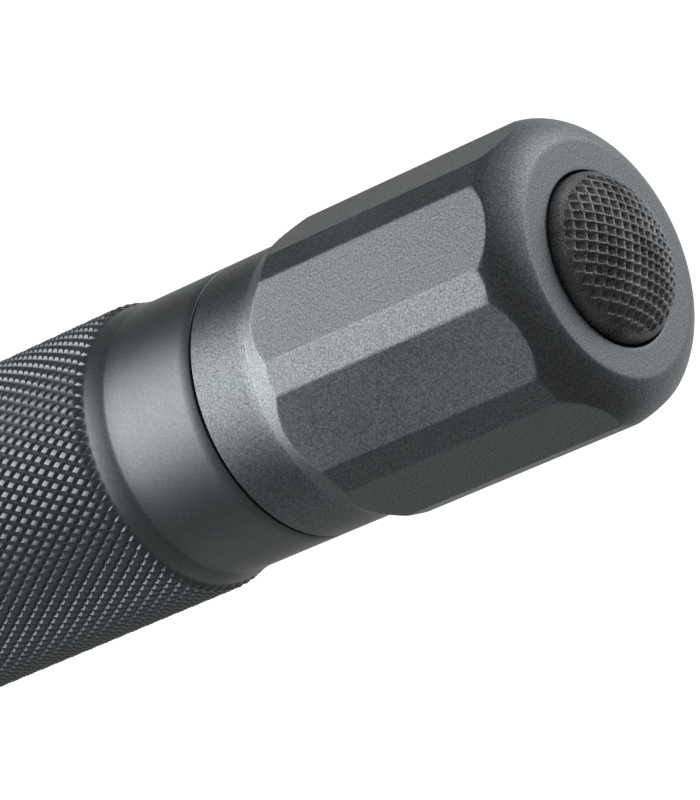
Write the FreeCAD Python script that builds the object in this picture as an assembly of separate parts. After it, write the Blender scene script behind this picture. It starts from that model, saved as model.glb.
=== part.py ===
import FreeCAD, Part
import math
import os

# Tactical flashlight, one lithium cell, machined aluminium body.
# It stands head down: z = 0 is the bezel's front rim and +Z runs to the tail.
# All lengths are in millimetres.

V = FreeCAD.Vector
UP = V(0, 0, 1)

# ---- overall ----
LENGTH = 146.0            # bezel rim to the flat tail face
BODY_R = 12.7             # one-inch battery tube
GAP = 0.25                # open joint line between two screwed housings
SLIP = 0.05               # radial room between pieces that are put together
FACETS = 8                # wide flats round the tail cap and the head

# ---- tail cap ----
CAP_LENGTH = 34.25
COLLAR_R = 11.95          # plain collar at the cap's open end
COLLAR_LENGTH = 5.97
CONE_LENGTH = 2.42        # cone from the collar up to the flats
FLAT_APOTHEM = 12.40      # centre line to a wide flat
FLAT_HALF_ANGLE = 16.286  # half the angle that a wide flat takes up
SHOULDER_ARC = 4.53       # radius of the rounded tail shoulder
SHOULDER_DEPTH = 4.26     # from the tail face to the shoulder's fullest point
SHOULDER_R = 13.015       # radius at that point, before the flats are milled
BUTTON_HOLE_R = 7.41
END_WALL = 2.5
SWITCH_BORE_R = 9.9

# ---- screw joints between tube, cap and head ----
THREAD_BORE_R = 11.0
THREAD_R = 10.92
THREAD_ROOT_R = 10.3
THREAD_PITCH = 1.25
SEAL_GROOVE_R = 10.05
SEAL_GROOVE_WIDTH = 1.2
SEAL_GROOVE_INSET = 0.7   # from a tube's shoulder to its seal groove
SEAL_WIRE_R = 0.46
NECK_LENGTH = 12.0
TUBE_EDGE = 0.35          # chamfer on the tube's ends

# ---- battery tube ----
RING_LENGTH = 9.58        # smooth ring next to the cap, as thick as its collar
STEP_LENGTH = 0.92        # steep foot of the slope from the ring up to the tube
BAND_LENGTH = 1.2         # smooth, gently sloped band before the knurling
RAMP_LENGTH = 0.8         # end of the slope, where the knurling runs out
KNURL_LENGTH = 39.0
STEP_R = 12.2
BAND_R = 12.4
FRONT_BAND = 5.5
CELL_BORE_R = 9.45

# ---- cell: 18650 size with a raised positive cap ----
CELL_R = 9.2
CELL_LENGTH = 69.0
CELL_WRAP = 0.15
CELL_CAP_R = 3.2
CELL_CAP_HEIGHT = 1.5

# ---- switch, counted from the tail face towards the head ----
BUTTON_R = 7.18
BUTTON_DOME = 3.3
BUTTON_TRAVEL = 1.8
CORE_DEPTH = 2.7          # top of the button core's flange
CORE_FLANGE = 2.4
CORE_R = 9.7
CORE_BOSS_R = 4.5
CORE_BOSS_RISE = 0.5      # the boss stands this far above the tail face, inside the dome
BUTTON_SEAL_R = 8.85      # root of the core's seal groove
BUTTON_SEAL_WIRE = 0.5
PLUNGER_R = 2.5
STEM_R = 1.4
CONTACT_THICK = 0.6
CONTACT_IN_R = 3.0
CONTACT_OUT_R = 5.2
HOUSING_DEPTH = 7.2
HOUSING_HEIGHT = 10.3
HOUSING_R = 9.6
HOUSING_CAVITY_R = 6.4
BOARD_THICK = 1.2
RING_HEIGHT = 2.1
SEAT_THICK = 0.5
SEAT_R = 5.9
TAIL_SPRING_LENGTH = 13.4
TAIL_SPRING_R = 4.9
TAIL_SPRING_WIRE = 0.5
RETURN_SPRING_R = 2.1
RETURN_SPRING_WIRE = 0.4

# ---- head ----
HEAD_R = 16.5
HEAD_NECK_R = 13.4
HEAD_FLAT_LOW = 10.0      # the head's flats run between these heights
HEAD_FLAT_HIGH = 19.5
HEAD_FLAT_APOTHEM = 15.95
FIN_COUNT = 4
FIN_LOW = 31.0
FIN_PITCH = 3.2
FIN_GROOVE = 1.6
FIN_DEPTH = 1.2
BEZEL_VISIBLE = 5.0
BEZEL_THREAD_R = 15.2
BEZEL_LENGTH = 10.0
LENS_R = 14.2
LENS_THICK = 2.0
LENS_FRONT = 3.6
GASKET_THICK = 0.7
REFLECTOR_DEPTH = 19.8
REFLECTOR_MOUTH_R = 12.9
REFLECTOR_THROAT_R = 3.5
PILL_WALL = 3.2
PILL_CAVITY = 7.0
PILL_CAVITY_R = 8.6
LED_BOARD = 1.6
LED_SIZE = 5.0
LED_THICK = 0.7
LED_DOME_R = 1.9
SCREW_CIRCLE = 7.4        # the LED board's two screws
LEAD_CIRCLE = 8.05        # its two leads
LEAD_R = 0.5
DRIVER_THICK = 1.4
DRIVER_SPRING_LENGTH = 4.4
DRIVER_SPRING_R = 2.2
DRIVER_SPRING_WIRE = 0.35

# ---- heights that follow from them ----
CAP_FRONT = LENGTH - CAP_LENGTH
TUBE_SHOULDER = CAP_FRONT - GAP
TUBE_REAR = TUBE_SHOULDER + NECK_LENGTH
RING_FRONT = TUBE_SHOULDER - RING_LENGTH
BAND_REAR = RING_FRONT - STEP_LENGTH
RAMP_REAR = BAND_REAR - BAND_LENGTH
KNURL_REAR = RAMP_REAR - RAMP_LENGTH
KNURL_FRONT = KNURL_REAR - KNURL_LENGTH
TUBE_HEAD_SHOULDER = KNURL_FRONT - FRONT_BAND
HEAD_REAR = TUBE_HEAD_SHOULDER - GAP
CORE_TOP = LENGTH - CORE_DEPTH
CORE_BOTTOM = CORE_TOP - CORE_FLANGE
HOUSING_TOP = LENGTH - HOUSING_DEPTH
HOUSING_BOTTOM = HOUSING_TOP - HOUSING_HEIGHT
BOARD_BOTTOM = HOUSING_BOTTOM - BOARD_THICK
RING_BOTTOM = BOARD_BOTTOM - RING_HEIGHT
SEAT_BOTTOM = BOARD_BOTTOM - SLIP - SEAT_THICK
CELL_REAR = SEAT_BOTTOM - TAIL_SPRING_LENGTH
CELL_FRONT = CELL_REAR - CELL_LENGTH
DRIVER_REAR = CELL_FRONT - DRIVER_SPRING_LENGTH
DRIVER_FRONT = DRIVER_REAR - DRIVER_THICK
PILL_FLOOR = DRIVER_FRONT - PILL_CAVITY
PILL_FRONT = PILL_FLOOR - PILL_WALL
LED_BOARD_FRONT = PILL_FRONT - LED_BOARD
LED_FRONT = LED_BOARD_FRONT - LED_THICK
LENS_REAR = LENS_FRONT + LENS_THICK
REFLECTOR_REAR = LENS_REAR + REFLECTOR_DEPTH
TUBE_FRONT = DRIVER_REAR + 0.7
TAIL_SEAL_LOW = TUBE_SHOULDER + SEAL_GROOVE_INSET
HEAD_SEAL_LOW = TUBE_HEAD_SHOULDER - SEAL_GROOVE_INSET - SEAL_GROOVE_WIDTH
COLLAR_LOW = HOUSING_BOTTOM + 5.5
COLLAR_HIGH = COLLAR_LOW + 1.4


def lathe(points):
    """Solid of revolution about Z from a closed outline of (radius, height) points."""
    corners = [V(r, 0, z) for r, z in points]
    wire = Part.makePolygon(corners + corners[:1])
    return Part.Face(wire).revolve(V(0, 0, 0), UP, 360)


def disc(radius, low, high):
    return Part.makeCylinder(radius, high - low, V(0, 0, low))


def washer(inner, outer, low, high):
    return disc(outer, low, high).cut(disc(inner, low, high))


def seal(wire_r, inner, height):
    """Round rubber ring whose inside radius is inner."""
    return Part.makeTorus(inner + wire_r, wire_r, V(0, 0, height))


def around(shape, count, first=0.0):
    """Copies of a shape spread evenly about the Z axis, as one compound."""
    copies = []
    for index in range(count):
        copy = shape.copy()
        copy.rotate(V(0, 0, 0), UP, first + 360.0 * index / count)
        copies.append(copy)
    return Part.makeCompound(copies)


def box_at(width, depth, low, high, x=0.0, y=0.0):
    corner = V(x - width / 2, y - depth / 2, low)
    return Part.makeBox(width, depth, high - low, corner)


def faceted_bar(apothem, half_angle, low, high):
    """Prism with wide flats at a given distance and narrow flats between them."""
    corner_r = apothem / math.cos(math.radians(half_angle))
    corners = []
    for index in range(FACETS):
        middle = 360.0 * index / FACETS
        for side in (-half_angle, half_angle):
            turn = math.radians(middle + side)
            corners.append(V(corner_r * math.cos(turn), corner_r * math.sin(turn), low))
    face = Part.Face(Part.makePolygon(corners + corners[:1]))
    return face.extrude(V(0, 0, high - low))


def coil(radius, wire_r, low, high, turns):
    """Helical spring whose wire stays between the heights low and high."""
    pitch = (high - low - 2 * wire_r) / turns
    helix = Part.makeHelix(pitch, pitch * turns, radius)
    helix.translate(V(0, 0, low + wire_r))
    start = V(radius, 0, low + wire_r)
    slope = V(0, 2 * math.pi * radius, pitch)
    section = Part.Wire(Part.makeCircle(wire_r, start, slope))
    return Part.Wire(helix.Edges).makePipeShell([section], True, True)


def thread_relief(shape, low, high):
    """Cut the ring grooves that stand for a male thread between two heights."""
    count = int((high - low) / THREAD_PITCH)
    for index in range(count):
        middle = low + (index + 0.5) * THREAD_PITCH
        root = THREAD_PITCH * 0.12
        crest = THREAD_PITCH * 0.34
        groove = lathe([(THREAD_ROOT_R, middle - root), (THREAD_R + 0.1, middle - crest),
                        (THREAD_R + 0.1, middle + crest), (THREAD_ROOT_R, middle + root)])
        shape = shape.cut(groove)
    return shape


def battery_tube():
    edge = TUBE_EDGE
    outline = Part.Wire([
        Part.makeLine(V(CELL_BORE_R, 0, TUBE_FRONT), V(THREAD_R - edge, 0, TUBE_FRONT)),
        Part.makeLine(V(THREAD_R - edge, 0, TUBE_FRONT), V(THREAD_R, 0, TUBE_FRONT + edge)),
        Part.makeLine(V(THREAD_R, 0, TUBE_FRONT + edge), V(THREAD_R, 0, TUBE_HEAD_SHOULDER)),
        Part.makeLine(V(THREAD_R, 0, TUBE_HEAD_SHOULDER), V(BODY_R - edge, 0, TUBE_HEAD_SHOULDER)),
        Part.makeLine(V(BODY_R - edge, 0, TUBE_HEAD_SHOULDER), V(BODY_R, 0, TUBE_HEAD_SHOULDER + edge)),
        Part.makeLine(V(BODY_R, 0, TUBE_HEAD_SHOULDER + edge), V(BODY_R, 0, KNURL_REAR)),
        Part.makeLine(V(BODY_R, 0, KNURL_REAR), V(BAND_R, 0, RAMP_REAR)),
        Part.makeLine(V(BAND_R, 0, RAMP_REAR), V(STEP_R, 0, BAND_REAR)),
        Part.makeLine(V(STEP_R, 0, BAND_REAR), V(COLLAR_R, 0, RING_FRONT)),
        Part.makeLine(V(COLLAR_R, 0, RING_FRONT), V(COLLAR_R, 0, TUBE_SHOULDER)),
        Part.makeLine(V(COLLAR_R, 0, TUBE_SHOULDER), V(THREAD_R, 0, TUBE_SHOULDER)),
        Part.makeLine(V(THREAD_R, 0, TUBE_SHOULDER), V(THREAD_R, 0, TUBE_REAR - edge)),
        Part.makeLine(V(THREAD_R, 0, TUBE_REAR - edge), V(THREAD_R - edge, 0, TUBE_REAR)),
        Part.makeLine(V(THREAD_R - edge, 0, TUBE_REAR), V(CELL_BORE_R, 0, TUBE_REAR)),
        Part.makeLine(V(CELL_BORE_R, 0, TUBE_REAR), V(CELL_BORE_R, 0, TUBE_FRONT)),
    ])
    tube = Part.Face(outline).revolve(V(0, 0, 0), UP, 360)
    for low in (TAIL_SEAL_LOW, HEAD_SEAL_LOW):
        tube = tube.cut(washer(SEAL_GROOVE_R, BODY_R, low, low + SEAL_GROOVE_WIDTH))
    tube = thread_relief(tube, TAIL_SEAL_LOW + SEAL_GROOVE_WIDTH + 1.0, TUBE_REAR - 1.0)
    return thread_relief(tube, TUBE_FRONT + 1.0, HEAD_SEAL_LOW - 1.0)


def tail_cap():
    cone_low = CAP_FRONT + COLLAR_LENGTH
    cone_slope = (FLAT_APOTHEM / math.cos(math.radians(FLAT_HALF_ANGLE)) - COLLAR_R) / CONE_LENGTH
    cone_high = cone_low + (SHOULDER_R - COLLAR_R) / cone_slope
    arc_z = LENGTH - SHOULDER_DEPTH
    arc_r = SHOULDER_R - SHOULDER_ARC
    face_r = arc_r + math.sqrt(SHOULDER_ARC ** 2 - SHOULDER_DEPTH ** 2)
    face_turn = math.atan2(SHOULDER_DEPTH, face_r - arc_r)
    middle = V(arc_r + SHOULDER_ARC * math.cos(face_turn / 2), 0,
               arc_z + SHOULDER_ARC * math.sin(face_turn / 2))
    edge = 0.15
    outline = Part.Wire([
        Part.makeLine(V(0, 0, CAP_FRONT), V(COLLAR_R - edge, 0, CAP_FRONT)),
        Part.makeLine(V(COLLAR_R - edge, 0, CAP_FRONT), V(COLLAR_R, 0, CAP_FRONT + edge)),
        Part.makeLine(V(COLLAR_R, 0, CAP_FRONT + edge), V(COLLAR_R, 0, cone_low)),
        Part.makeLine(V(COLLAR_R, 0, cone_low), V(SHOULDER_R, 0, cone_high)),
        Part.makeLine(V(SHOULDER_R, 0, cone_high), V(SHOULDER_R, 0, arc_z)),
        Part.Arc(V(SHOULDER_R, 0, arc_z), middle, V(face_r, 0, LENGTH)).toShape(),
        Part.makeLine(V(face_r, 0, LENGTH), V(0, 0, LENGTH)),
        Part.makeLine(V(0, 0, LENGTH), V(0, 0, CAP_FRONT)),
    ])
    blank = Part.Face(outline).revolve(V(0, 0, 0), UP, 360)
    cap = blank.common(faceted_bar(FLAT_APOTHEM, FLAT_HALF_ANGLE, CAP_FRONT, LENGTH))
    lip = 0.08
    switch_bore_low = RING_BOTTOM - 0.2
    bore = lathe([(0, CAP_FRONT), (THREAD_BORE_R, CAP_FRONT), (THREAD_BORE_R, switch_bore_low),
                  (SWITCH_BORE_R, switch_bore_low), (SWITCH_BORE_R, LENGTH - END_WALL),
                  (BUTTON_HOLE_R, LENGTH - END_WALL), (BUTTON_HOLE_R, LENGTH - lip),
                  (BUTTON_HOLE_R + lip, LENGTH), (0, LENGTH)])
    return cap.cut(bore)


def button_pad():
    """Domed rubber pad on a cylindrical skirt, with a socket for the core's boss."""
    base = LENGTH - END_WALL - 0.1
    skirt = disc(BUTTON_R, base, LENGTH)
    ball = Part.makeSphere(BUTTON_R, V(0, 0, 0), UP, 0, 90)
    flatten = FreeCAD.Matrix()
    flatten.scale(1.0, 1.0, BUTTON_DOME / BUTTON_R)
    dome = ball.transformGeometry(flatten)
    dome.translate(V(0, 0, LENGTH))
    socket = disc(CORE_BOSS_R, base, LENGTH + CORE_BOSS_RISE)
    return skirt.fuse(dome).removeSplitter().cut(socket)


def button_core():
    """Hard core of the button: a sealed flange and a boss inside the rubber pad."""
    flange = disc(CORE_R, CORE_BOTTOM, CORE_TOP)
    boss = disc(CORE_BOSS_R, CORE_TOP, LENGTH + CORE_BOSS_RISE)
    middle = (CORE_BOTTOM + CORE_TOP) / 2
    half_groove = BUTTON_SEAL_WIRE + SLIP
    groove = washer(BUTTON_SEAL_R, SWITCH_BORE_R, middle - half_groove, middle + half_groove)
    return flange.fuse(boss).cut(groove)


def button_seal():
    return seal(BUTTON_SEAL_WIRE, BUTTON_SEAL_R, (CORE_BOTTOM + CORE_TOP) / 2)


def switch_plunger():
    post = disc(PLUNGER_R, COLLAR_LOW, CORE_BOTTOM)
    collar = disc(CONTACT_OUT_R, COLLAR_LOW, COLLAR_HIGH)
    stem = disc(STEM_R, HOUSING_BOTTOM + 2.1, COLLAR_LOW)
    return post.fuse(collar).fuse(stem)


def switch_contact_ring():
    return washer(CONTACT_IN_R, CONTACT_OUT_R, COLLAR_LOW - CONTACT_THICK, COLLAR_LOW)


def switch_contacts():
    """Two fixed contact posts that the moving ring joins when the button is down."""
    top = COLLAR_LOW - CONTACT_THICK - BUTTON_TRAVEL - 0.1
    return around(box_at(1.4, 2.4, HOUSING_BOTTOM, top, x=4.1), 2)


def switch_return_spring():
    return coil(RETURN_SPRING_R, RETURN_SPRING_WIRE, HOUSING_BOTTOM, COLLAR_LOW, 3)


def switch_housing():
    shell = disc(HOUSING_R, HOUSING_BOTTOM, HOUSING_TOP)
    cavity = disc(HOUSING_CAVITY_R, HOUSING_BOTTOM, HOUSING_TOP - 1.8)
    guide = disc(PLUNGER_R + 0.08, HOUSING_BOTTOM, HOUSING_TOP)
    wire_slots = around(box_at(1.6, 3.0, HOUSING_BOTTOM, HOUSING_TOP - 3.0, x=SWITCH_BORE_R - 0.6), 2, 90)
    return shell.cut(cavity).cut(guide).cut(wire_slots)


def switch_board():
    board = disc(HOUSING_R, BOARD_BOTTOM, HOUSING_BOTTOM)
    return board.cut(around(disc(0.5, BOARD_BOTTOM, HOUSING_BOTTOM).translated(V(7.6, 0, 0)), 2, 90))


def switch_retaining_ring():
    ring = washer(HOUSING_CAVITY_R, SWITCH_BORE_R - SLIP, RING_BOTTOM, BOARD_BOTTOM)
    notches = around(box_at(2.0, 2.4, RING_BOTTOM, RING_BOTTOM + 1.2, x=7.2), 2, 90)
    return ring.cut(notches)


def tail_spring_seat():
    return disc(SEAT_R, SEAT_BOTTOM, SEAT_BOTTOM + SEAT_THICK)


def tail_spring():
    return coil(TAIL_SPRING_R, TAIL_SPRING_WIRE, CELL_REAR, SEAT_BOTTOM, 5)


def cell_can():
    can_r = CELL_R - CELL_WRAP
    can = disc(can_r, CELL_FRONT + CELL_CAP_HEIGHT, CELL_REAR)
    crimp = washer(can_r - 0.5, can_r, CELL_FRONT + 4.0, CELL_FRONT + 5.2)
    return can.cut(crimp)


def cell_wrap():
    """Shrink sleeve that folds over both ends of the can."""
    front = CELL_FRONT + CELL_CAP_HEIGHT
    sleeve = washer(CELL_R - CELL_WRAP, CELL_R, front, CELL_REAR)
    front_fold = washer(6.8, CELL_R, front - CELL_WRAP, front)
    return sleeve.fuse(front_fold)


def cell_insulator():
    front = CELL_FRONT + CELL_CAP_HEIGHT
    return washer(CELL_CAP_R + SLIP, 6.75, front - 0.2, front)


def cell_positive_cap():
    cap = disc(CELL_CAP_R, CELL_FRONT, CELL_FRONT + CELL_CAP_HEIGHT)
    rim = [edge for edge in cap.Edges if abs(edge.BoundBox.ZMax - CELL_FRONT) < 0.01 and edge.Closed]
    return cap.makeFillet(0.4, rim)


def head_shell():
    front = BEZEL_VISIBLE + GAP
    outline = [(THREAD_BORE_R, 24.0), (14.5, 17.0), (14.5, BEZEL_LENGTH + 0.4),
               (BEZEL_THREAD_R + SLIP, BEZEL_LENGTH + 0.4), (BEZEL_THREAD_R + SLIP, front),
               (HEAD_R - 0.2, front), (HEAD_R, front + 0.2), (HEAD_R, 21.0),
               (HEAD_NECK_R, 29.5), (HEAD_NECK_R, HEAD_REAR - 0.4), (HEAD_NECK_R - 0.4, HEAD_REAR),
               (THREAD_BORE_R, HEAD_REAR)]
    shell = lathe(outline)
    flats = faceted_bar(HEAD_FLAT_APOTHEM, FLAT_HALF_ANGLE, HEAD_FLAT_LOW, HEAD_FLAT_HIGH)
    blank = disc(HEAD_R + 1, HEAD_FLAT_LOW, HEAD_FLAT_HIGH)
    shell = shell.cut(blank.cut(flats))
    for index in range(FIN_COUNT):
        low = FIN_LOW + index * FIN_PITCH
        shell = shell.cut(washer(HEAD_NECK_R - FIN_DEPTH, HEAD_R, low, low + FIN_GROOVE))
    return shell


def bezel_ring():
    """Screwed front ring with shallow scallops in its rim."""
    lip = LENS_FRONT - GASKET_THICK
    outline = [(14.9, 0), (15.9, 0), (HEAD_R, 0.6), (HEAD_R, BEZEL_VISIBLE), (BEZEL_THREAD_R, BEZEL_VISIBLE),
               (BEZEL_THREAD_R, BEZEL_LENGTH), (LENS_R + 0.1, BEZEL_LENGTH), (LENS_R + 0.1, lip),
               (REFLECTOR_MOUTH_R + 0.1, lip)]
    ring = lathe(outline)
    groove_low = BEZEL_VISIBLE + 0.9
    ring = ring.cut(washer(BEZEL_THREAD_R - 0.6, HEAD_R, groove_low, groove_low + 0.9))
    scallop_r = 6.0
    scallop = Part.makeCylinder(scallop_r, HEAD_R + 2, V(0, 0, 1.3 - scallop_r), V(1, 0, 0))
    return ring.cut(around(scallop, FACETS, 180.0 / FACETS))


def bezel_seal():
    return seal(0.3, BEZEL_THREAD_R - 0.57, BEZEL_VISIBLE + 1.35)


def lens():
    glass = disc(LENS_R, LENS_FRONT, LENS_REAR)
    return glass.makeChamfer(0.2, [edge for edge in glass.Edges if edge.Closed])


def lens_gasket():
    return washer(REFLECTOR_MOUTH_R + 0.15, LENS_R, LENS_FRONT - GASKET_THICK, LENS_FRONT)


def reflector():
    """Parabolic bowl, r^2 = throat^2 + k * distance from the throat, with a front flange."""
    steps = 14
    wall = 0.9
    growth = (REFLECTOR_MOUTH_R ** 2 - REFLECTOR_THROAT_R ** 2) / REFLECTOR_DEPTH
    inside = []
    for index in range(steps + 1):
        depth = REFLECTOR_DEPTH * (index / steps) ** 1.5
        inside.append(V(math.sqrt(REFLECTOR_THROAT_R ** 2 + growth * depth), 0, REFLECTOR_REAR - depth))
    bowl = Part.BSplineCurve()
    bowl.interpolate(inside)
    flange_rear = LENS_REAR + 1.2
    outer = [V(REFLECTOR_MOUTH_R, 0, LENS_REAR), V(LENS_R, 0, LENS_REAR), V(LENS_R, 0, flange_rear),
             V(REFLECTOR_MOUTH_R + wall, 0, flange_rear), V(9.6, 0, REFLECTOR_REAR - 6.5),
             V(6.0, 0, REFLECTOR_REAR - 1.2), V(6.0, 0, REFLECTOR_REAR), V(REFLECTOR_THROAT_R, 0, REFLECTOR_REAR)]
    rim = [Part.makeLine(outer[i], outer[i + 1]) for i in range(len(outer) - 1)]
    return Part.Face(Part.Wire([bowl.toShape()] + rim)).revolve(V(0, 0, 0), UP, 360)


def led_centering_ring():
    ring = disc(5.6, REFLECTOR_REAR, LED_BOARD_FRONT)
    window = box_at(LED_SIZE + 0.2, LED_SIZE + 0.2, REFLECTOR_REAR, LED_BOARD_FRONT)
    return ring.cut(window)


def led_package():
    return box_at(LED_SIZE, LED_SIZE, LED_FRONT, LED_BOARD_FRONT)


def led_dome():
    return Part.makeSphere(LED_DOME_R, V(0, 0, LED_FRONT), V(0, 0, -1), 0, 90)


def led_board():
    board = disc(PILL_CAVITY_R + 0.4, LED_BOARD_FRONT, PILL_FRONT)
    holes = around(disc(1.05, LED_BOARD_FRONT, PILL_FRONT).translated(V(SCREW_CIRCLE, 0, 0)), 2)
    notches = around(disc(1.0, LED_BOARD_FRONT, PILL_FRONT).translated(V(8.3, 0, 0)), 2, 90)
    return board.cut(holes).cut(notches)


def led_board_screws():
    head = disc(1.6, LED_BOARD_FRONT - 0.9, LED_BOARD_FRONT)
    slot = box_at(2.4, 0.5, LED_BOARD_FRONT - 0.9, LED_BOARD_FRONT - 0.45)
    shank = disc(0.95, LED_BOARD_FRONT, PILL_FRONT + 2.4)
    screw = head.cut(slot).fuse(shank).translated(V(SCREW_CIRCLE, 0, 0))
    return around(screw, 2)


def led_leads():
    """Two insulated leads from the LED board through the heat sink to the driver."""
    lead = disc(LEAD_R, LED_BOARD_FRONT + 0.2, DRIVER_FRONT).translated(V(LEAD_CIRCLE, 0, 0))
    return around(lead, 2, 90)


def heat_sink():
    """Cup that carries the LED board on its floor and the driver in its mouth."""
    body = disc(THREAD_BORE_R - SLIP, PILL_FRONT, DRIVER_REAR)
    cavity = disc(PILL_CAVITY_R, PILL_FLOOR, DRIVER_FRONT)
    mouth = disc(PILL_CAVITY_R + 0.8, DRIVER_FRONT, DRIVER_REAR)
    screw_holes = around(disc(1.0, PILL_FRONT, PILL_FLOOR).translated(V(SCREW_CIRCLE, 0, 0)), 2)
    lead_holes = around(disc(0.7, PILL_FRONT, PILL_FLOOR).translated(V(LEAD_CIRCLE, 0, 0)), 2, 90)
    return body.cut(cavity).cut(mouth).cut(screw_holes).cut(lead_holes)


def driver_board():
    return disc(PILL_CAVITY_R + 0.75, DRIVER_FRONT, DRIVER_REAR)


def driver_inductor():
    block = box_at(6.0, 6.0, DRIVER_FRONT - 2.8, DRIVER_FRONT, x=-2.2)
    upright = [edge for edge in block.Edges if abs(edge.BoundBox.ZLength - 2.8) < 0.01]
    return block.makeFillet(1.2, upright)


def driver_chips():
    controller = box_at(4.0, 5.0, DRIVER_FRONT - 1.1, DRIVER_FRONT, x=4.2)
    capacitor = box_at(1.6, 3.2, DRIVER_FRONT - 1.4, DRIVER_FRONT, x=0.8, y=5.4)
    resistor = box_at(1.6, 3.2, DRIVER_FRONT - 0.6, DRIVER_FRONT, x=0.8, y=-5.4)
    return Part.makeCompound([controller, capacitor, resistor])


def driver_spring():
    return coil(DRIVER_SPRING_R, DRIVER_SPRING_WIRE, DRIVER_REAR, CELL_FRONT, 3)


def tube_seal(low):
    return seal(SEAL_WIRE_R, SEAL_GROOVE_R, low + SEAL_GROOVE_WIDTH / 2)


NODES = {
    "battery_tube": battery_tube,
    "tail_cap": tail_cap,
    "button_pad": button_pad,
    "button_core": button_core,
    "button_o_ring": button_seal,
    "switch_plunger": switch_plunger,
    "switch_contact_ring": switch_contact_ring,
    "switch_contact_posts": switch_contacts,
    "switch_return_spring": switch_return_spring,
    "switch_housing": switch_housing,
    "switch_board": switch_board,
    "switch_retaining_ring": switch_retaining_ring,
    "tail_spring_seat": tail_spring_seat,
    "tail_spring": tail_spring,
    "tail_o_ring": lambda: tube_seal(TAIL_SEAL_LOW),
    "head_o_ring": lambda: tube_seal(HEAD_SEAL_LOW),
    "cell_can": cell_can,
    "cell_wrap": cell_wrap,
    "cell_insulator": cell_insulator,
    "cell_positive_cap": cell_positive_cap,
    "driver_spring": driver_spring,
    "driver_board": driver_board,
    "driver_inductor": driver_inductor,
    "driver_chips": driver_chips,
    "heat_sink": heat_sink,
    "led_leads": led_leads,
    "led_board": led_board,
    "led_board_screws": led_board_screws,
    "led_package": led_package,
    "led_dome": led_dome,
    "led_centering_ring": led_centering_ring,
    "reflector": reflector,
    "lens": lens,
    "lens_gasket": lens_gasket,
    "bezel_ring": bezel_ring,
    "bezel_o_ring": bezel_seal,
    "head_shell": head_shell,
}

os.makedirs("parts", exist_ok=True)
for name, make in NODES.items():
    shape = make()
    shape.exportStep("parts/" + name + ".step")
    print(name, "valid" if shape.isValid() else "INVALID", round(shape.Volume, 2))
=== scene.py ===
import math

import bpy
import numpy as np
from mathutils import Matrix, Vector


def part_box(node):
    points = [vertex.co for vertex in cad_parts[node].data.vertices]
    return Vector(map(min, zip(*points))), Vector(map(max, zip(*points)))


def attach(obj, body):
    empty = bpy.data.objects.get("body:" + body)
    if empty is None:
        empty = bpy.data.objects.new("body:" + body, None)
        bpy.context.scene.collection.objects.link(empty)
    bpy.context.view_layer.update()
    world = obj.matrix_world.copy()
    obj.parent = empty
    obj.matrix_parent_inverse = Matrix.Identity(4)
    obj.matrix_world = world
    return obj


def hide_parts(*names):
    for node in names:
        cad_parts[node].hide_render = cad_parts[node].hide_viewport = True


# Looks for a slim flashlight that stands head down: z = 0 is the bezel's rim, +Z runs to the tail.
# Lengths are in millimetres until a mesh is made.

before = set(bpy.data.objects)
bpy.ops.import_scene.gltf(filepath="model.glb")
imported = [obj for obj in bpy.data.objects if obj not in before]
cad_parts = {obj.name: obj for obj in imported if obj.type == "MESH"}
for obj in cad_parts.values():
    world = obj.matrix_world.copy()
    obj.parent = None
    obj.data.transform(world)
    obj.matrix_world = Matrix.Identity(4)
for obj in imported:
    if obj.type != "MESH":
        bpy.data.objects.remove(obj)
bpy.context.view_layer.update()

MM = 0.001
UP = Vector((0, 0, 1))


def span(node, axis=2):
    """Lowest and highest place of a CAD node along an axis, in whole thousandths of a millimetre."""
    return [round(float(corner[axis]) / MM, 3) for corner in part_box(node)]


# ---- ends and widths of the CAD model's main pieces ----
CAP_FRONT, LENGTH = span("tail_cap")             # LENGTH runs from the bezel's rim to the flat tail face
TUBE_FRONT, TUBE_REAR = span("battery_tube")
HEAD_FRONT, HEAD_REAR = span("head_shell")
BEZEL_LENGTH = span("bezel_ring")[1]
BODY_R = span("battery_tube", axis=0)[1]
HEAD_R = span("head_shell", axis=0)[1]
BUTTON_R = span("button_pad", axis=0)[1]
FLAT_APOTHEM = span("tail_cap", axis=0)[1]       # centre line to a wide flat
BUTTON_DOME = round(span("button_pad")[1] - LENGTH, 3)
JOINT_GAP = 0.25          # open line between two screwed housings
SLIP = 0.05               # radial room between pieces that are put together

# ---- tail cap and button ----
RING_R = 11.95            # the cap's collar, and the tube's smooth ring next to it
CONE_LOW = CAP_FRONT + 5.97                      # end of the collar
CONE_LENGTH = 2.42        # short cone from the collar up to the flats
FACETS = 8                # wide flats, with a narrow one between each two
FLAT_HALF_ANGLE = math.radians(16.286)
SHOULDER_ARC = 4.53       # radius of the rounded tail shoulder
SHOULDER_DEPTH = 4.26     # from the tail face to the shoulder's fullest point
SHOULDER_R = 13.015       # radius at that point, before the flats are milled
HOLE_R = 7.41
END_WALL = 2.5
SWITCH_BORE_R = 9.9
SWITCH_BORE_LOW = CAP_FRONT + 13.25
CAP_THREAD_LOW = CAP_FRONT + 1.45
CAP_THREAD_HIGH = CAP_FRONT + 11.85
PAD_DEPTH = 2.4           # skirt of the button's pad, below the tail face
CORE_BOSS_R = 4.5         # hollow under the pad for the button's core
CORE_BOSS_RISE = 0.5

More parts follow.
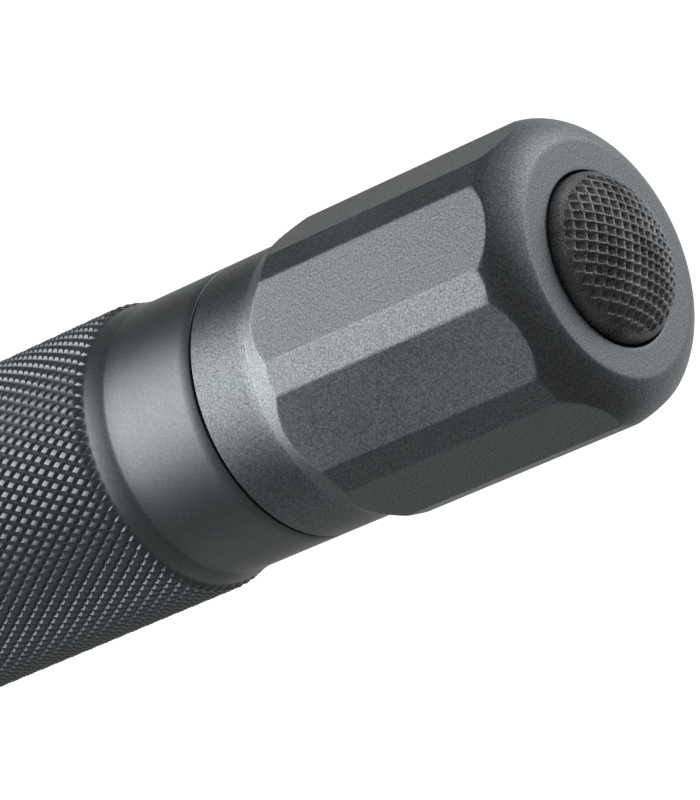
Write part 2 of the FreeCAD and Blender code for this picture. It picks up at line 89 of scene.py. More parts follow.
# ---- battery tube ----
TUBE_SHOULDER = CAP_FRONT - JOINT_GAP
STEP_REAR = TUBE_SHOULDER - 9.58                 # end of the ring, where a slope leads up to the knurling
KNURL_REAR = STEP_REAR - 2.07
HEAD_SHOULDER = HEAD_REAR + JOINT_GAP
KNURL_FRONT = HEAD_SHOULDER + 5.5
CELL_BORE_R = 9.45
THREAD_R = 10.92
THREAD_ROOT_R = 10.3
THREAD_PITCH = 1.25
THREAD_BORE_R = 11.0
SEAL_GROOVE_R = 10.05
SEAL_GROOVE_INSET = 0.7   # from a tube's shoulder to its seal groove
SEAL_GROOVE_WIDTH = 1.2

# ---- head and bezel ----
HEAD_NECK_R = 13.4
HEAD_FLAT_LOW = 10.0
HEAD_FLAT_HIGH = 19.5
HEAD_FLAT_APOTHEM = 15.95
HEAD_CONE_LOW = 20.7
HEAD_CONE_HIGH = 29.7
REFLECTOR_BORE_R = 14.5
FIN_COUNT = 4
FIN_LOW = 31.0
FIN_PITCH = 3.2
FIN_GROOVE = 1.6
FIN_DEPTH = 1.2
BEZEL_VISIBLE = HEAD_FRONT - JOINT_GAP
BEZEL_THREAD_R = 15.2
LENS_BORE_R = 14.3
LENS_SEAT = 2.9

# ---- surface detail ----
EDGE = 0.09               # reach of the softening of the cap's and the ring's edges
EDGE_CORNER = 0.03        # how far the middle of that softening is inside the corner
FLAT_BLEND = 0.02         # softness of the edges between flats
TUBE_CHAMFER = 0.4
THREAD_RUNOUT = 0.9       # plain length between a tube's end and its thread
THREAD_START = 1.0        # plain length between a seal groove and the thread
THREAD_FLANK = 2.4        # steepness of a thread's flanks
CAP_THREAD_DEPTH = 0.25
KNURL_STARTS = 76         # helical grooves in each of the two directions
KNURL_AXIAL = 1.79        # pitch of the grooves along the tube
KNURL_DEPTH = 0.31
KNURL_CROWN = 0.2         # part of the depth that the low pyramids take up
KNURL_STEPS = 4           # lattice steps per groove, along and across
STEP_EDGE = 0.12          # softening where the slope leaves the ring
STEP_SLOPE = 0.26         # rise of the slope where it leaves the ring
STEP_BEND = 0.0472        # how fast that rise eases off
SLOPE_STEPS = 10
RAMP_SLOPE = 0.6          # rise of the knurling out of the slope
WAFFLE_PITCH = 0.87       # between the ridges on the button
WAFFLE_DEPTH = 0.48
WAFFLE_R = 6.62           # edge of the ridged field
WAFFLE_FADE = 0.12        # width over which the ridges run out into the rim
RIDGE_WIDTH = 0.2         # part of the pitch that a ridge's rounded top takes up
CROSSING_RISE = 0.08      # how far ridges rise where they cross
RIM_DROP = 0.16           # how far the smooth rim lies below the dome
RIM_WIDTH = 0.45
SCALLOP_R = 6.0           # the rounded notches in the bezel's rim
SCALLOP_DEPTH = 1.3
SCALLOP_REACH = 3.0       # the notches move only the points in front of this height
WIDE_STEPS = 40           # columns on a wide flat
NARROW_STEPS = 16
BUTTON_COLUMNS = 512
FLOOR_COLUMNS = 64


# ---------------------------------------------------------------- meshes

def faces_between(rows, columns, closed, cuts):
    """Faces of a lattice wrapped round the axis; cuts says, for some rows, how each face is halved."""
    j = np.arange(columns)
    k = (j + 1) % columns
    faces = []
    for row in range(rows if closed else rows - 1):
        low, high = row * columns, (row + 1) % rows * columns
        quads = np.stack([low + j, low + k, high + k, high + j], 1)
        if row in cuts:
            onward = cuts[row][:, None]
            faces += np.where(onward, quads[:, [0, 1, 2]], quads[:, [0, 1, 3]]).tolist()
            faces += np.where(onward, quads[:, [0, 2, 3]], quads[:, [1, 2, 3]]).tolist()
        else:
            faces += quads.tolist()
    return faces


def add_mesh(name, points, faces, sharp):
    """Smooth piece from points in millimetres; edges that bend by more than sharp degrees stay sharp."""
    mesh = bpy.data.meshes.new(name)
    mesh.from_pydata((np.asarray(points).reshape(-1, 3) * MM).tolist(), [], faces)
    mesh.update()
    mesh.polygons.foreach_set("use_smooth", [True] * len(mesh.polygons))
    mesh.set_sharp_from_angle(angle=math.radians(sharp))
    piece = bpy.data.objects.new(name, mesh)
    bpy.context.scene.collection.objects.link(piece)
    return piece


def turned(name, radius, height, turn, cuts=(), closed=True, sharp=35.0):
    """Piece from arrays of radius, height and angle, one row per step of its outline."""
    rows, columns = radius.shape
    points = np.stack([radius * np.cos(turn), radius * np.sin(turn), height], -1)
    return add_mesh(name, points, faces_between(rows, columns, closed, cuts), sharp)


def outline(runs):
    """Closed outline through corners; each run is (radius, height, steps to the next corner)."""
    points = []
    for (radius, height, steps), (next_radius, next_height, _) in zip(runs, runs[1:] + runs[:1]):
        for step in range(steps):
            t = step / steps
            points.append((radius + (next_radius - radius) * t, height + (next_height - height) * t))
    return points


def arc(centre, radius, first, last, steps):
    """Corner runs along an arc, angles in degrees from the radial direction towards +Z."""
    runs = []
    for step in range(steps + 1):
        a = math.radians(first + (last - first) * step / steps)
        runs.append((centre[0] + radius * math.cos(a), centre[1] + radius * math.sin(a), 1))
    return runs


def full_turn(columns):
    """Evenly spaced angles of the columns."""
    return np.arange(columns) * 2 * math.pi / columns


def facet_turns():
    """Angles of the columns, with one column on every edge between two flats."""
    turns = []
    step = 2 * math.pi / FACETS
    for index in range(FACETS):
        first, last = index * step - FLAT_HALF_ANGLE, index * step + FLAT_HALF_ANGLE
        following = index * step + step - FLAT_HALF_ANGLE
        turns += np.linspace(first, last, WIDE_STEPS, endpoint=False).tolist()
        turns += np.linspace(last, following, NARROW_STEPS, endpoint=False).tolist()
    return np.array(turns)


def flat_limit(turn, apothem):
    """Distance from the axis to the wide or narrow flat at an angle."""
    step = 2 * math.pi / FACETS
    off = np.abs((turn + step / 2) % step - step / 2)
    corner = apothem / math.cos(FLAT_HALF_ANGLE)
    narrow = corner * math.cos(step / 2 - FLAT_HALF_ANGLE)
    return np.where(off <= FLAT_HALF_ANGLE, apothem / np.cos(off), narrow / np.cos(step / 2 - off))


def soft_min(a, b, blend):
    """Smaller of two values, rounded off where they cross."""
    return (a + b - np.sqrt((a - b) ** 2 + blend ** 2)) / 2


def mesh_grid(points, turns):
    """Arrays of radius, height and angle, one row per outline point and one column per angle."""
    radius, height = np.array(points).T
    return radius[:, None] + 0 * turns, height[:, None] + 0 * turns, turns[None, :] + 0 * radius[:, None]


def thread_wave(height, turn):
    """0 at a thread's crest and 1 at its root, for a right-hand thread."""
    phase = (height / THREAD_PITCH - turn / (2 * math.pi)) % 1.0
    return np.clip(THREAD_FLANK * (2 * np.abs(phase - 0.5) - 0.5) + 0.5, 0, 1)


def on_thread(radius, height, thread_r, low, high):
    """Which points lie on a cylinder that carries a thread."""
    return (np.abs(radius - thread_r) < 0.001) & (height > low) & (height < high)


def tail_cap():
    """Cap from its open end over cone, flats and shoulder to the button's hole, and back inside."""
    cone_slope = (FLAT_APOTHEM / math.cos(FLAT_HALF_ANGLE) - RING_R) / CONE_LENGTH
    cone_high = CONE_LOW + (SHOULDER_R - RING_R) / cone_slope
    centre = (SHOULDER_R - SHOULDER_ARC, LENGTH - SHOULDER_DEPTH)
    face_angle = math.degrees(math.asin(SHOULDER_DEPTH / SHOULDER_ARC))
    face_r = centre[0] + SHOULDER_ARC * math.cos(math.radians(face_angle))
    runs = [(THREAD_BORE_R, CAP_FRONT, 2),
            (RING_R - EDGE, CAP_FRONT, 1),
            (RING_R - EDGE_CORNER, CAP_FRONT + EDGE_CORNER, 1),
            (RING_R, CAP_FRONT + EDGE, 6),
            (RING_R, CONE_LOW - 0.06, 1),
            (RING_R + 0.02, CONE_LOW + 0.06, 26),
            (SHOULDER_R, cone_high, 18),
            (SHOULDER_R, centre[1], 1)]
    # The steps are finest where the flats run out into the shoulder.
    for first, last, steps in ((6, 13, 2), (14, 42, 30), (44, face_angle - 1, 12)):
        runs += arc(centre, SHOULDER_ARC, first, last, steps)
    runs += [(face_r - 0.08, LENGTH, 10),
             (HOLE_R + EDGE, LENGTH, 1),
             (HOLE_R + 0.04, LENGTH - 0.01, 1),
             (HOLE_R + 0.01, LENGTH - 0.04, 1),
             (HOLE_R, LENGTH - EDGE, 4),
             (HOLE_R, LENGTH - END_WALL, 2),
             (SWITCH_BORE_R, LENGTH - END_WALL, 4),
             (SWITCH_BORE_R, SWITCH_BORE_LOW, 2),
             (THREAD_BORE_R, SWITCH_BORE_LOW, 2),
             (THREAD_BORE_R, CAP_THREAD_HIGH, 40),
             (THREAD_BORE_R, CAP_THREAD_LOW, 4)]
    radius, height, turn = mesh_grid(outline(runs), facet_turns())
    outside = (radius > RING_R - FLAT_BLEND) & (height < LENGTH)
    radius = np.where(outside, soft_min(radius, flat_limit(turn, FLAT_APOTHEM), FLAT_BLEND), radius)
    threaded = on_thread(radius, height, THREAD_BORE_R, CAP_THREAD_LOW, CAP_THREAD_HIGH)
    radius = np.where(threaded, radius + CAP_THREAD_DEPTH * thread_wave(height, turn), radius)
    return turned("tail_cap_body", radius, height, turn, sharp=24.0)


def knurl_phases(height, turn):
    """Places across the two families of helical grooves, 0 in a groove and 1 half way to the next."""
    along = (KNURL_REAR - height) / KNURL_AXIAL
    across = turn * KNURL_STARTS / (2 * math.pi)
    return [np.abs((across + way * along + 0.5) % 1.0 - 0.5) * 2 for way in (1, -1)]


def knurl_drop(height, turn):
    """Depth below the knurling's peaks: steep grooves between low pyramids."""
    nearest = np.minimum(*knurl_phases(height, turn))
    return KNURL_DEPTH * np.interp(nearest, (0.0, 0.5, 1.0), (1.0, KNURL_CROWN, 0.0))


def slope_radius(height):
    """Radius of the slope between the smooth ring and the knurling."""
    down = STEP_REAR - height
    return RING_R + STEP_SLOPE * down - STEP_BEND * down ** 2


def battery_tube():
    """Tube from its rear end over thread, ring, slope and knurling to its front end, and back inside."""
    rear_groove = TUBE_SHOULDER + SEAL_GROOVE_INSET
    rear_thread = (rear_groove + SEAL_GROOVE_WIDTH + THREAD_START, TUBE_REAR - THREAD_RUNOUT)
    rear = [(CELL_BORE_R, TUBE_REAR, 2),
            (THREAD_R - TUBE_CHAMFER, TUBE_REAR, 1),
            (THREAD_R, TUBE_REAR - TUBE_CHAMFER, 1),
            (THREAD_R, rear_thread[1], 44),
            (THREAD_R, rear_thread[0], 1),
            (THREAD_R, rear_groove + SEAL_GROOVE_WIDTH, 1),
            (SEAL_GROOVE_R, rear_groove + SEAL_GROOVE_WIDTH, 1),
            (SEAL_GROOVE_R, rear_groove, 1),
            (THREAD_R, rear_groove, 1),
            (THREAD_R, TUBE_SHOULDER, 2),
            (RING_R - EDGE, TUBE_SHOULDER, 1),
            (RING_R - EDGE_CORNER, TUBE_SHOULDER - EDGE_CORNER, 1),
            (RING_R, TUBE_SHOULDER - EDGE, 8),
            (RING_R, STEP_REAR + STEP_EDGE, 1)]
    slope = np.linspace(STEP_REAR - STEP_EDGE / 2, KNURL_REAR, SLOPE_STEPS, endpoint=False)
    rear += [(slope_radius(z), z, 1) for z in slope]

    spacing = KNURL_AXIAL / KNURL_STEPS
    knurled = [(BODY_R, z, 1) for z in np.arange(KNURL_REAR, KNURL_FRONT + spacing, -spacing)]

    front_groove = HEAD_SHOULDER - SEAL_GROOVE_INSET
    front_thread = (TUBE_FRONT + THREAD_RUNOUT, front_groove - SEAL_GROOVE_WIDTH - THREAD_START)
    front = [(BODY_R, KNURL_FRONT, 4),
             (BODY_R, HEAD_SHOULDER + 0.2, 1),
             (BODY_R - 0.06, HEAD_SHOULDER + 0.06, 1),
             (BODY_R - 0.2, HEAD_SHOULDER, 1),
             (THREAD_R, HEAD_SHOULDER, 1),
             (THREAD_R, front_groove, 1),
             (SEAL_GROOVE_R, front_groove, 1),
             (SEAL_GROOVE_R, front_groove - SEAL_GROOVE_WIDTH, 1),
             (THREAD_R, front_groove - SEAL_GROOVE_WIDTH, 1),
             (THREAD_R, front_thread[1], 24),
             (THREAD_R, front_thread[0], 1),
             (THREAD_R, TUBE_FRONT + TUBE_CHAMFER, 1),
             (THREAD_R - TUBE_CHAMFER, TUBE_FRONT, 1),
             (CELL_BORE_R, TUBE_FRONT, 6),
             (CELL_BORE_R, TUBE_REAR - 1, 1)]

    columns = KNURL_STARTS * KNURL_STEPS
    radius, height, turn = mesh_grid(outline(rear + knurled + front), full_turn(columns))
    first = sum(steps for _, _, steps in rear)
    in_knurl = range(first, first + len(knurled))
    for row in in_knurl:
        ramp = slope_radius(KNURL_REAR) + (KNURL_REAR - height[row]) * RAMP_SLOPE
        radius[row] = np.minimum(ramp, BODY_R - knurl_drop(height[row], turn[row]))
    # Each face of the knurling is halved along the groove next to it.
    cuts = {}
    for row in in_knurl[:-1]:
        one, other = knurl_phases(height[row] - spacing / 2, turn[row] + math.pi / columns)
        cuts[row] = other < one
    for low, high in (rear_thread, front_thread):
        thread = THREAD_R - (THREAD_R - THREAD_ROOT_R) * thread_wave(height, turn)
        radius = np.where(on_thread(radius, height, THREAD_R, low, high), thread, radius)
    return turned("knurled_tube", radius, height, turn, cuts=cuts, sharp=30.0)


def dome_height(radius):
    """Height of the button's elliptic dome above the tail face."""
    return BUTTON_DOME * np.sqrt(np.maximum(0.0, 1 - (radius / BUTTON_R) ** 2))


def button_pad():
    """Rubber dome whose top is a waffle: square pits between rounded ridges that rise where they cross."""
    field = np.linspace(0.02, WAFFLE_R, 84)
    rim = (6.70, 6.78, 6.86, 6.94, 7.02, 7.09, 7.14)
    top = [(r, LENGTH + float(dome_height(r))) for r in (*field, *rim)]
    under = outline([(BUTTON_R, LENGTH + 0.05, 2),
                     (BUTTON_R, LENGTH - PAD_DEPTH / 2, 1),
                     (BUTTON_R, LENGTH - PAD_DEPTH, 1),
                     (CORE_BOSS_R, LENGTH - PAD_DEPTH, 2),
                     (CORE_BOSS_R, LENGTH + CORE_BOSS_RISE, 2),
                     (0.02, LENGTH + CORE_BOSS_RISE, 1)])
    on_top = np.arange(len(top) + len(under))[:, None] < len(top)
    radius, height, turn = mesh_grid(top + under, full_turn(BUTTON_COLUMNS))
    x, y = (radius * shape(turn - math.pi / 4) / WAFFLE_PITCH for shape in (np.cos, np.sin))
    from_ridge = [np.abs((place + 0.5) % 1 - 0.5) * 2 for place in (x, y)]
    pit = WAFFLE_DEPTH * np.interp(np.minimum(*from_ridge), (0.0, RIDGE_WIDTH, 1.0), (0.0, 0.05, 1.0))
    sag = CROSSING_RISE * np.clip(np.maximum(*from_ridge) * 1.6, 0, 1)
    edge = np.clip((WAFFLE_R - radius) / WAFFLE_FADE, 0, 1)
    low_rim = RIM_DROP * np.clip((BUTTON_R - radius) / RIM_WIDTH, 0, 1)
    waffle = edge * (pit + sag) + (1 - edge) * low_rim
    return turned("button_pad_textured", radius, height - np.where(on_top, waffle, 0), turn, sharp=50.0)


def head_shell():
    """Head from the bezel's joint over flats, cone and cooling fins to the tube, and back inside."""
    socket_r, socket_end = BEZEL_THREAD_R + SLIP, BEZEL_LENGTH + 0.4
    neck, root = HEAD_NECK_R, HEAD_NECK_R - FIN_DEPTH
    runs = [(socket_r, HEAD_FRONT, 1),
            (HEAD_R - 0.25, HEAD_FRONT, 1),
            (HEAD_R - 0.07, HEAD_FRONT + 0.07, 1),
            (HEAD_R, HEAD_FRONT + 0.25, 4),
            (HEAD_R, HEAD_FLAT_LOW - 0.01, 1),
            (HEAD_R, HEAD_FLAT_LOW + 0.01, 8),
            (HEAD_R, HEAD_FLAT_HIGH - 0.01, 1),
            (HEAD_R, HEAD_FLAT_HIGH + 0.01, 2),
            (HEAD_R, HEAD_CONE_LOW, 1),
            (HEAD_R - 0.12, HEAD_CONE_LOW + 0.5, 6),
            (neck + 0.12, HEAD_CONE_HIGH - 0.5, 1),
            (neck, HEAD_CONE_HIGH, 2)]
    # One side of a groove between two fins, from the neck in to the root; the other side mirrors it.
    side = [(neck, -0.18), (neck - 0.05, -0.05), (neck - 0.18, 0.0),
            (root + 0.3, 0.0), (root + 0.09, 0.09), (root, 0.3)]
    for index in range(FIN_COUNT):
        low = FIN_LOW + FIN_PITCH * index
        runs += [(radius, low + inset, 1) for radius, inset in side]
        runs += [(radius, low + FIN_GROOVE - inset, 1) for radius, inset in reversed(side)]
    runs += [(neck, HEAD_REAR - 0.4, 1),
             (neck - 0.12, HEAD_REAR - 0.12, 1),
             (neck - 0.4, HEAD_REAR, 1),
             (THREAD_BORE_R, HEAD_REAR, 8),
             (THREAD_BORE_R, 24.0, 2),
             (REFLECTOR_BORE_R, 17.0, 2),
             (REFLECTOR_BORE_R, socket_end, 1),
             (socket_r, socket_end, 2)]
    radius, height, turn = mesh_grid(outline(runs), facet_turns())
    milled = (height > HEAD_FLAT_LOW) & (height < HEAD_FLAT_HIGH) & (radius > HEAD_FLAT_APOTHEM)
    cut = soft_min(radius, flat_limit(turn, HEAD_FLAT_APOTHEM), FLAT_BLEND)
    return turned("head_body", np.where(milled, cut, radius), height, turn, sharp=24.0)


def bezel_ring():
    """Bezel with a scalloped rim, a thread relief behind its joint, and the lens's seat inside."""
    relief_r, relief_low, relief_high = BEZEL_THREAD_R - 0.6, 5.9, 6.8
    runs = [(14.9, 0.0, 2),
            (15.85, 0.0, 1),
            (16.1, 0.1, 1),
            (16.42, 0.45, 1),
            (HEAD_R, 0.7, 8),
            (HEAD_R, BEZEL_VISIBLE - 0.2, 1),
            (HEAD_R - 0.06, BEZEL_VISIBLE - 0.06, 1),
            (HEAD_R - 0.2, BEZEL_VISIBLE, 1),
            (BEZEL_THREAD_R, BEZEL_VISIBLE, 1),
            (BEZEL_THREAD_R, relief_low, 1),
            (relief_r, relief_low, 1),
            (relief_r, relief_high, 1),
            (BEZEL_THREAD_R, relief_high, 8),
            (BEZEL_THREAD_R, BEZEL_LENGTH, 1),
            (LENS_BORE_R, BEZEL_LENGTH, 2),
            (LENS_BORE_R, LENS_SEAT, 1),
            (13.0, LENS_SEAT, 1)]
    radius, height, turn = mesh_grid(outline(runs), facet_turns())
    step = 2 * math.pi / FACETS
    off = turn % step - step / 2
    drop = np.sqrt(np.maximum(SCALLOP_R ** 2 - (radius * np.sin(off)) ** 2, 0.0))
    rim = (height < SCALLOP_REACH) & (radius > LENS_BORE_R + 0.2)
    height = np.where(rim, np.maximum(height, SCALLOP_DEPTH - SCALLOP_R + drop), height)
    return turned("bezel_front", radius, height, turn, sharp=30.0)


# ---------------------------------------------------------------- materials

WHITE = (1.0, 1.0, 1.0, 1.0)


def add_node(tree, kind, inputs=None, **settings):
    """Node in a tree; inputs gives, for some of its sockets, a value or the output that feeds it."""
    made = tree.nodes.new(kind)
    for setting, value in settings.items():
        setattr(made, setting, value)
    for socket, value in (inputs or {}).items():
        if isinstance(value, bpy.types.NodeSocket):
            tree.links.new(value, made.inputs[socket])
        else:
            made.inputs[socket].default_value = value
    return made


def map_range(tree, value, from_range, to_range, **settings):
    """Value moved from one range to another, and clamped there."""
    inputs = {"Value": value, "From Min": from_range[0], "From Max": from_range[1],
              "To Min": to_range[0], "To Max": to_range[1]}
    return add_node(tree, "ShaderNodeMapRange", inputs, **settings).outputs["Result"]


class Shade:
    """A node material built step by step around one Principled shader."""

    def __init__(self, name, **sockets):
        self.material = bpy.data.materials.new(name)
        self.material.use_nodes = True
        self.tree = self.material.node_tree
        self.tree.nodes.clear()
        values = {socket.replace("_", " "): value for socket, value in sockets.items()}
        self.shader = self.node("ShaderNodeBsdfPrincipled", values)
        self.node("ShaderNodeOutputMaterial", {"Surface": self.shader.outputs[0]})
        self.place = self.node("ShaderNodeTexCoord").outputs["Object"]

    def node(self, kind, inputs=None, **settings):
        """Node in this material's own tree."""
        return add_node(self.tree, kind, inputs, **settings)

    def noise(self, scale, detail=2.0, stretch=None, roughness=0.5):
        """Noise value; scale counts per metre, stretch scales X, Y and Z."""
        place = self.place
        if stretch:
            place = self.node("ShaderNodeMapping", {"Vector": place, "Scale": stretch}).outputs["Vector"]
        inputs = {"Scale": scale, "Detail": detail, "Roughness": roughness, "Vector": place}
        return self.node("ShaderNodeTexNoise", inputs).outputs["Fac"]

    def ramp(self, value, low, high, out_low, out_high):
        """Output moved from one range to another."""
        return map_range(self.tree, value, (low, high), (out_low, out_high))

    def mix(self, factor, first, second):
        """Colour between two colours or colour outputs."""
        inputs = {0: factor}
        for socket, colour in ((6, first), (7, second)):
            inputs[socket] = (*colour, 1.0) if isinstance(colour, tuple) else colour
        return self.node("ShaderNodeMix", inputs, data_type="RGBA").outputs[2]

    def add(self, first, second, operation="ADD"):
        """Sum, or another operation, of two numbers or outputs."""
        return self.node("ShaderNodeMath", {0: first, 1: second}, operation=operation).outputs[0]

    def colour(self, output):
        self.tree.links.new(output, self.shader.inputs["Base Color"])

    def roughness(self, output):
        self.tree.links.new(output, self.shader.inputs["Roughness"])

    def bump(self, height, distance, strength=1.0):
        inputs = {"Distance": distance, "Strength": strength, "Height": height}
        normal = self.node("ShaderNodeBump", inputs).outputs["Normal"]
        self.tree.links.new(normal, self.shader.inputs["Normal"])


def anodised(name, grain, rings):
    """Bead-blasted dark grey anodising with a fine sparkle and faint turning lines."""
    shade = Shade(name, Metallic=1.0)
    fine = shade.noise(6500, detail=1.5, roughness=0.6)
    lines = shade.noise(1.0, detail=3.0, stretch=(60, 60, 16000), roughness=0.6)
    cloud = shade.noise(90, detail=3.0)
    speck = shade.ramp(fine, 0.3, 0.7, 0.5 - 0.5 * grain, 0.5 + 0.5 * grain)
    drift = shade.ramp(cloud, 0.3, 0.7, -0.08, 0.08)
    turning = shade.ramp(lines, 0.3, 0.7, -0.5 * rings, 0.5 * rings)
    tone = shade.add(shade.add(speck, drift), turning)
    shade.colour(shade.mix(tone, (0.13, 0.142, 0.15), (0.335, 0.36, 0.38)))
    shade.roughness(shade.ramp(cloud, 0.3, 0.7, 0.38, 0.44))
    relief = shade.add(shade.add(fine, grain, "MULTIPLY"), shade.add(lines, rings, "MULTIPLY"))
    shade.bump(relief, 0.00002, 0.6)
    return shade.material


def rubber(name, dark, light, rough, grain, metallic=0.0):
    """Moulded rubber with a fine grain; metallic gives it the sheen of a hard, handled surface."""
    shade = Shade(name, Specular_IOR_Level=0.5, Metallic=metallic)
    fine = shade.noise(7000, detail=1.0)
    cloud = shade.noise(300, detail=2.0)
    shade.colour(shade.mix(shade.ramp(shade.add(fine, cloud), 0.68, 1.4, 0.0, 1.0), dark, light))
    shade.roughness(shade.ramp(cloud, 0.3, 0.7, rough[0], rough[1]))
    shade.bump(fine, 0.00003 * grain, 0.7)
    return shade.material


def metal(name, dark, light, rough=(0.2, 0.35), lines=(40, 40, 4000), bump=0.00001):
    """Bare or plated metal with drawing or turning lines."""
    shade = Shade(name, Metallic=1.0)
    grain = shade.noise(1.0, detail=3.0, stretch=lines)
    stain = shade.noise(220, detail=4.0)
    tone = shade.ramp(shade.add(grain, stain, "MULTIPLY"), 0.14, 0.38, 0.0, 1.0)
    shade.colour(shade.mix(tone, dark, light))
    shade.roughness(shade.ramp(stain, 0.3, 0.7, rough[0], rough[1]))
    shade.bump(grain, bump, 0.6)
    return shade.material


def plastic(name, dark, light, rough=(0.35, 0.5), scale=900, bump=0.00002, **sockets):
    """Moulded, printed or pressed surface with a fine grain and slow changes of tone."""
    shade = Shade(name, **sockets)
    grain = shade.noise(scale * 6, detail=2.0)
    cloud = shade.noise(scale / 4, detail=3.0)
    shade.colour(shade.mix(shade.ramp(shade.add(grain, cloud), 0.7, 1.3, 0.0, 1.0), dark, light))
    shade.roughness(shade.ramp(cloud, 0.3, 0.7, rough[0], rough[1]))
    shade.bump(grain, bump, 0.5)
    return shade.material


def circuit_board(name, mask, track, pitch):
    """Solder mask with paler copper tracks under it."""
    shade = Shade(name, Specular_IOR_Level=0.5, Roughness=0.35)
    cells = shade.node("ShaderNodeTexVoronoi", {"Scale": pitch, "Vector": shade.place},
                       distance="CHEBYCHEV", feature="F1")
    edge = shade.ramp(cells.outputs["Distance"], 0.30, 0.36, 0.0, 1.0)
    grain = shade.noise(5000, detail=2.0)
    base = shade.mix(shade.ramp(grain, 0.3, 0.7, 0.0, 1.0), mask, tuple(1.35 * c for c in mask))
    shade.colour(shade.mix(edge, base, track))
    shade.bump(edge, 0.00002, 0.8)
    return shade.material


def glass(name):
    """Clear glass with a faint smear."""
    shade = Shade(name, Transmission_Weight=1.0, IOR=1.5)
    smear = shade.noise(160, detail=4.0)
    shade.roughness(shade.ramp(smear, 0.45, 0.8, 0.0, 0.06))
    shade.colour(shade.mix(smear, (0.96, 0.985, 0.98), (1.0, 1.0, 1.0)))
    return shade.material


def dress(node, material):
    """Give every material slot of a CAD node one material."""
    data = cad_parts[node].data
    if not data.materials:
        data.materials.append(material)
    for index in range(len(data.materials)):
        data.materials[index] = material


def place_piece(piece, material, body, node):
    """Let a piece ride on a body in place of a CAD node."""
    piece.data.materials.append(material)
    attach(piece, body)
    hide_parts(node)


blasted = anodised("anodised_blasted", grain=0.95, rings=0.0)
turned_finish = anodised("anodised_turned", grain=0.35, rings=0.08)
pad_rubber = rubber("button_rubber", (0.06, 0.061, 0.063), (0.42, 0.43, 0.445), rough=(0.27, 0.34),
                    grain=3.0, metallic=0.85)

place_piece(tail_cap(), blasted, "tail_cap", "tail_cap")
place_piece(battery_tube(), turned_finish, "housing", "battery_tube")
place_piece(button_pad(), pad_rubber, "button", "button_pad")
place_piece(head_shell(), blasted, "housing", "head_shell")
place_piece(bezel_ring(), turned_finish, "housing", "bezel_ring")

seal_black = rubber("seal_rubber", (0.012, 0.012, 0.013), (0.03, 0.03, 0.031), rough=(0.35, 0.45),
                    grain=0.5)
nylon = plastic("black_nylon", (0.02, 0.02, 0.021), (0.045, 0.045, 0.046))
brass = metal("brass", (0.55, 0.36, 0.12), (0.8, 0.58, 0.24))
spring_metal = metal("gold_plated_spring", (0.72, 0.52, 0.22), (0.95, 0.74, 0.38), rough=(0.15, 0.28))
board_green = circuit_board("circuit_board", (0.012, 0.09, 0.045), (0.10, 0.24, 0.10), 450)
can_metal = metal("nickel_can", (0.5, 0.5, 0.49), (0.72, 0.71, 0.69))
wrap_film = plastic("cell_wrap", (0.03, 0.16, 0.42), (0.05, 0.22, 0.5), rough=(0.2, 0.3), bump=0.00001)
fish_paper = plastic("insulator_paper", (0.55, 0.56, 0.5), (0.75, 0.76, 0.7), rough=(0.7, 0.85), scale=1500)
component = plastic("component_black", (0.015, 0.015, 0.016), (0.04, 0.04, 0.042))
sink_metal = metal("heat_sink_aluminium", (0.55, 0.55, 0.55), (0.78, 0.78, 0.77), rough=(0.28, 0.42))
wire_red = plastic("lead_insulation", (0.35, 0.02, 0.02), (0.5, 0.04, 0.03), rough=(0.3, 0.4))
board_white = circuit_board("led_board_mask", (0.55, 0.56, 0.56), (0.78, 0.79, 0.78), 520)
steel = metal("steel", (0.45, 0.45, 0.44), (0.68, 0.67, 0.66))
ceramic = plastic("led_ceramic", (0.7, 0.7, 0.66), (0.85, 0.85, 0.8), rough=(0.5, 0.6))
silicone = plastic("led_phosphor_dome", (0.75, 0.62, 0.08), (0.88, 0.76, 0.16), rough=(0.08, 0.14),
                   bump=0.00001, Coat_Weight=0.8, Coat_Roughness=0.04)
mirror = metal("reflector_aluminised", (0.86, 0.86, 0.85), (0.93, 0.93, 0.92), rough=(0.04, 0.09),
               lines=(500, 500, 500), bump=0.00003)
lens_glass = glass("lens_glass")

NODE_MATERIALS = {
    "button_core": nylon, "button_o_ring": seal_black,
    "switch_plunger": nylon, "switch_contact_ring": brass,
    "switch_contact_posts": brass, "switch_return_spring": steel, "switch_housing": nylon,
    "switch_board": board_green, "switch_retaining_ring": brass, "tail_spring_seat": brass,
    "tail_spring": spring_metal, "tail_o_ring": seal_black,
    "head_o_ring": seal_black, "cell_can": can_metal,
    "cell_wrap": wrap_film, "cell_insulator": fish_paper, "cell_positive_cap": can_metal,
    "driver_spring": spring_metal, "driver_board": board_green, "driver_inductor": component,
    "driver_chips": component, "heat_sink": sink_metal, "led_leads": wire_red, "led_board": board_white,
    "led_board_screws": steel, "led_package": ceramic, "led_dome": silicone, "led_centering_ring": nylon,
    "reflector": mirror, "lens": lens_glass, "lens_gasket": seal_black, "bezel_o_ring": seal_black,
}
for node, material in NODE_MATERIALS.items():
    dress(node, material)


# ---------------------------------------------------------------- camera, floor and light

CAMERA_PLACE = (-0.09759, -0.39890, 0.42534)     # metres
CAMERA_FORWARD = (0.1940, 0.7759, -0.6003)
CAMERA_ROLL = math.radians(-66.449)
CAMERA_LENS = 283.984                            # millimetres of focal length on a sensor 36 wide
FLOOR_Z = -0.02                                  # just clear of the bezel's rim
FLOOR_R = 2500.0
FLOOR_GLOW = 0.85
FILL = 0.125
# direction towards each soft light, its half width in degrees and its brightness
SOFT_LIGHTS = [
    ((-0.36, -0.33, -0.87), 42, 3.9),
    ((-0.22, 0.72, 0.66), 34, 1.35),
    ((0.22, 0.97, -0.06), 62, 0.74),
    ((0.73, 0.0, -0.69), 32, 0.2),
    ((-0.57, 0.49, 0.66), 56, 0.48),
]


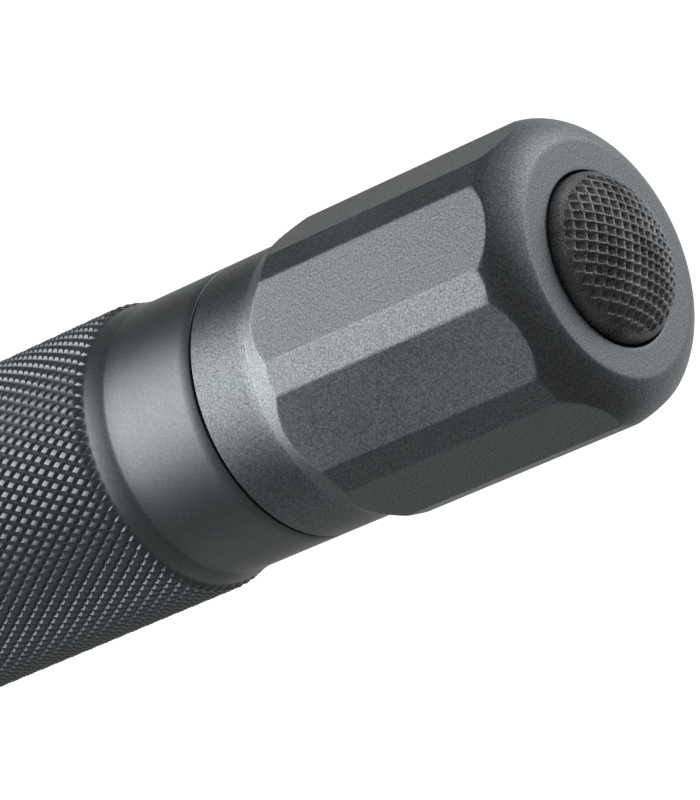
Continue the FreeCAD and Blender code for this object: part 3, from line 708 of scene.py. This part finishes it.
def add_camera():
    """Camera beside and above the tail, tilted so that the tube runs down to the left."""
    forward = Vector(CAMERA_FORWARD).normalized()
    right = forward.cross(UP).normalized()
    up = math.cos(CAMERA_ROLL) * right.cross(forward) + math.sin(CAMERA_ROLL) * right
    side = forward.cross(up)
    data = bpy.data.cameras.new("camera")
    data.lens, data.sensor_width = CAMERA_LENS, 36.0
    data.sensor_fit = "AUTO"
    data.clip_start, data.clip_end = 0.01, 20.0
    camera = bpy.data.objects.new("camera", data)
    turned_to = Matrix((side, up, -forward)).transposed().to_4x4()
    camera.matrix_world = Matrix.Translation(Vector(CAMERA_PLACE)) @ turned_to
    bpy.context.scene.collection.objects.link(camera)
    bpy.context.scene.camera = camera


def add_floor():
    """Plain pale floor that glows evenly and takes a faint soft shadow."""
    rings = [(radius, FLOOR_Z) for radius in (1.0, 400.0, FLOOR_R)]
    radius, height, turn = mesh_grid(rings, full_turn(FLOOR_COLUMNS))
    floor = turned("floor", radius, height, turn, closed=False)
    material = bpy.data.materials.new("floor_white")
    material.use_nodes = True
    tree = material.node_tree
    tree.nodes.clear()
    glow = add_node(tree, "ShaderNodeEmission", {"Color": WHITE, "Strength": FLOOR_GLOW})
    matt = add_node(tree, "ShaderNodeBsdfDiffuse", {"Color": (0.8, 0.8, 0.8, 1.0)})
    both = add_node(tree, "ShaderNodeAddShader", {0: glow.outputs[0], 1: matt.outputs[0]})
    add_node(tree, "ShaderNodeOutputMaterial", {"Surface": both.outputs[0]})
    floor.data.materials.append(material)
    for ray in ("glossy", "diffuse", "shadow", "transmission"):
        setattr(floor, "visible_" + ray, False)


def add_light():
    """Soft studio surroundings: a dim even fill and a few broad softboxes; the backdrop is white."""
    world = bpy.data.worlds.new("studio")
    bpy.context.scene.world = world
    world.use_nodes = True
    tree = world.node_tree
    tree.nodes.clear()
    direction = add_node(tree, "ShaderNodeTexCoord").outputs["Generated"]
    total = FILL
    for towards, width, brightness in SOFT_LIGHTS:
        sockets = {0: direction, 1: Vector(towards).normalized()}
        dot = add_node(tree, "ShaderNodeVectorMath", sockets, operation="DOT_PRODUCT").outputs["Value"]
        limits = (math.cos(math.radians(width)), 1.0)
        spread = map_range(tree, dot, limits, (0.0, brightness), interpolation_type="SMOOTHSTEP")
        total = add_node(tree, "ShaderNodeMath", {0: spread, 1: total}, operation="ADD").outputs[0]
    seen = add_node(tree, "ShaderNodeLightPath").outputs["Is Camera Ray"]
    light = add_node(tree, "ShaderNodeBackground", {"Strength": total})
    plain = add_node(tree, "ShaderNodeBackground", {"Color": WHITE})
    choose = add_node(tree, "ShaderNodeMixShader", {0: seen, 1: light.outputs[0], 2: plain.outputs[0]})
    add_node(tree, "ShaderNodeOutputWorld", {"Surface": choose.outputs[0]})


add_camera()
add_floor()
add_light()
bpy.context.scene.view_settings.view_transform = "Standard"
bpy.context.scene.view_settings.look = "None"
